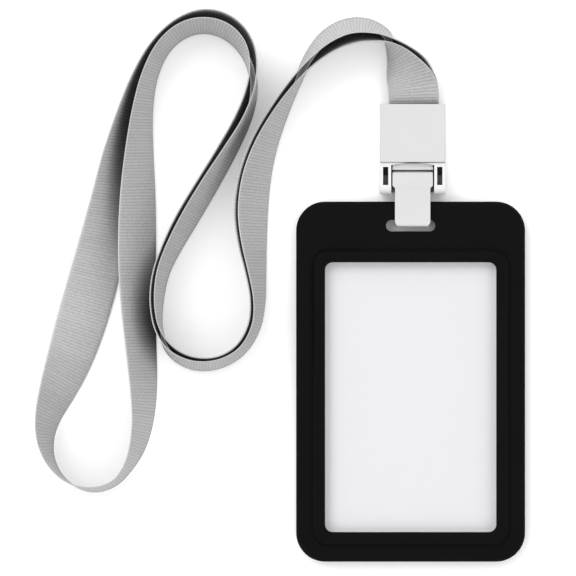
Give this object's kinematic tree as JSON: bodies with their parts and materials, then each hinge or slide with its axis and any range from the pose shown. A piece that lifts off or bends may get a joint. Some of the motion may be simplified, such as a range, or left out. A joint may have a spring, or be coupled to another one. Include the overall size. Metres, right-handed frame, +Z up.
{
  "type": "lanyard badge holder",
  "caption": "Rigid black card holder with clear windows on a flexible white hook, hung from a plastic clasp on a woven flat neck strap.",
  "frame": {"origin": "middle of the footprint of the holder and clasp, on the surface that they lie on, without the strap", "axes": "+X to the holder's right, +Y from the holder towards the clasp, +Z up out of the badge window"},
  "size_m": [0.1469, 0.1657, 0.0153],
  "materials": {
    "holder_plastic": "satin moulded polypropylene",
    "clear_pane": "clear rigid sheet",
    "card_stock": "blank white card",
    "white_plastic": "fine satin moulded ABS",
    "white_flexible_plastic": "satin flexible polypropylene",
    "woven_ribbon": "ribbed grey polyester weave"
  },
  "bodies": {
    "clasp": {"clasp_rear_body": "white_plastic", "clasp_front_cover": "white_plastic", "lanyard_strap": "woven_ribbon"},
    "hook": {"hook": "white_flexible_plastic"},
    "holder": {"holder_front_shell": "holder_plastic", "holder_rear_shell": "holder_plastic", "front_window": "clear_pane", "rear_window": "clear_pane"},
    "card": {"insert_card": "card_stock"}
  },
  "joints": [
    {"name": "hook_hinge", "type": "hinge", "parent": "clasp", "child": "hook", "pos_m": [0.0006, 0.0494, 0.0034], "axis": [-1, 0, 0], "range_deg": [0, 45]},
    {"name": "holder_sway", "type": "hinge", "parent": "hook", "child": "holder", "pos_m": [0.0006, 0.0323, 0.003], "axis": [0, 0, 1], "range_deg": [-8, 8]},
    {"name": "card_slide", "type": "slide", "parent": "holder", "child": "card", "axis": [1, 0, 0], "range_m": [0, 0.055]}
  ]
}
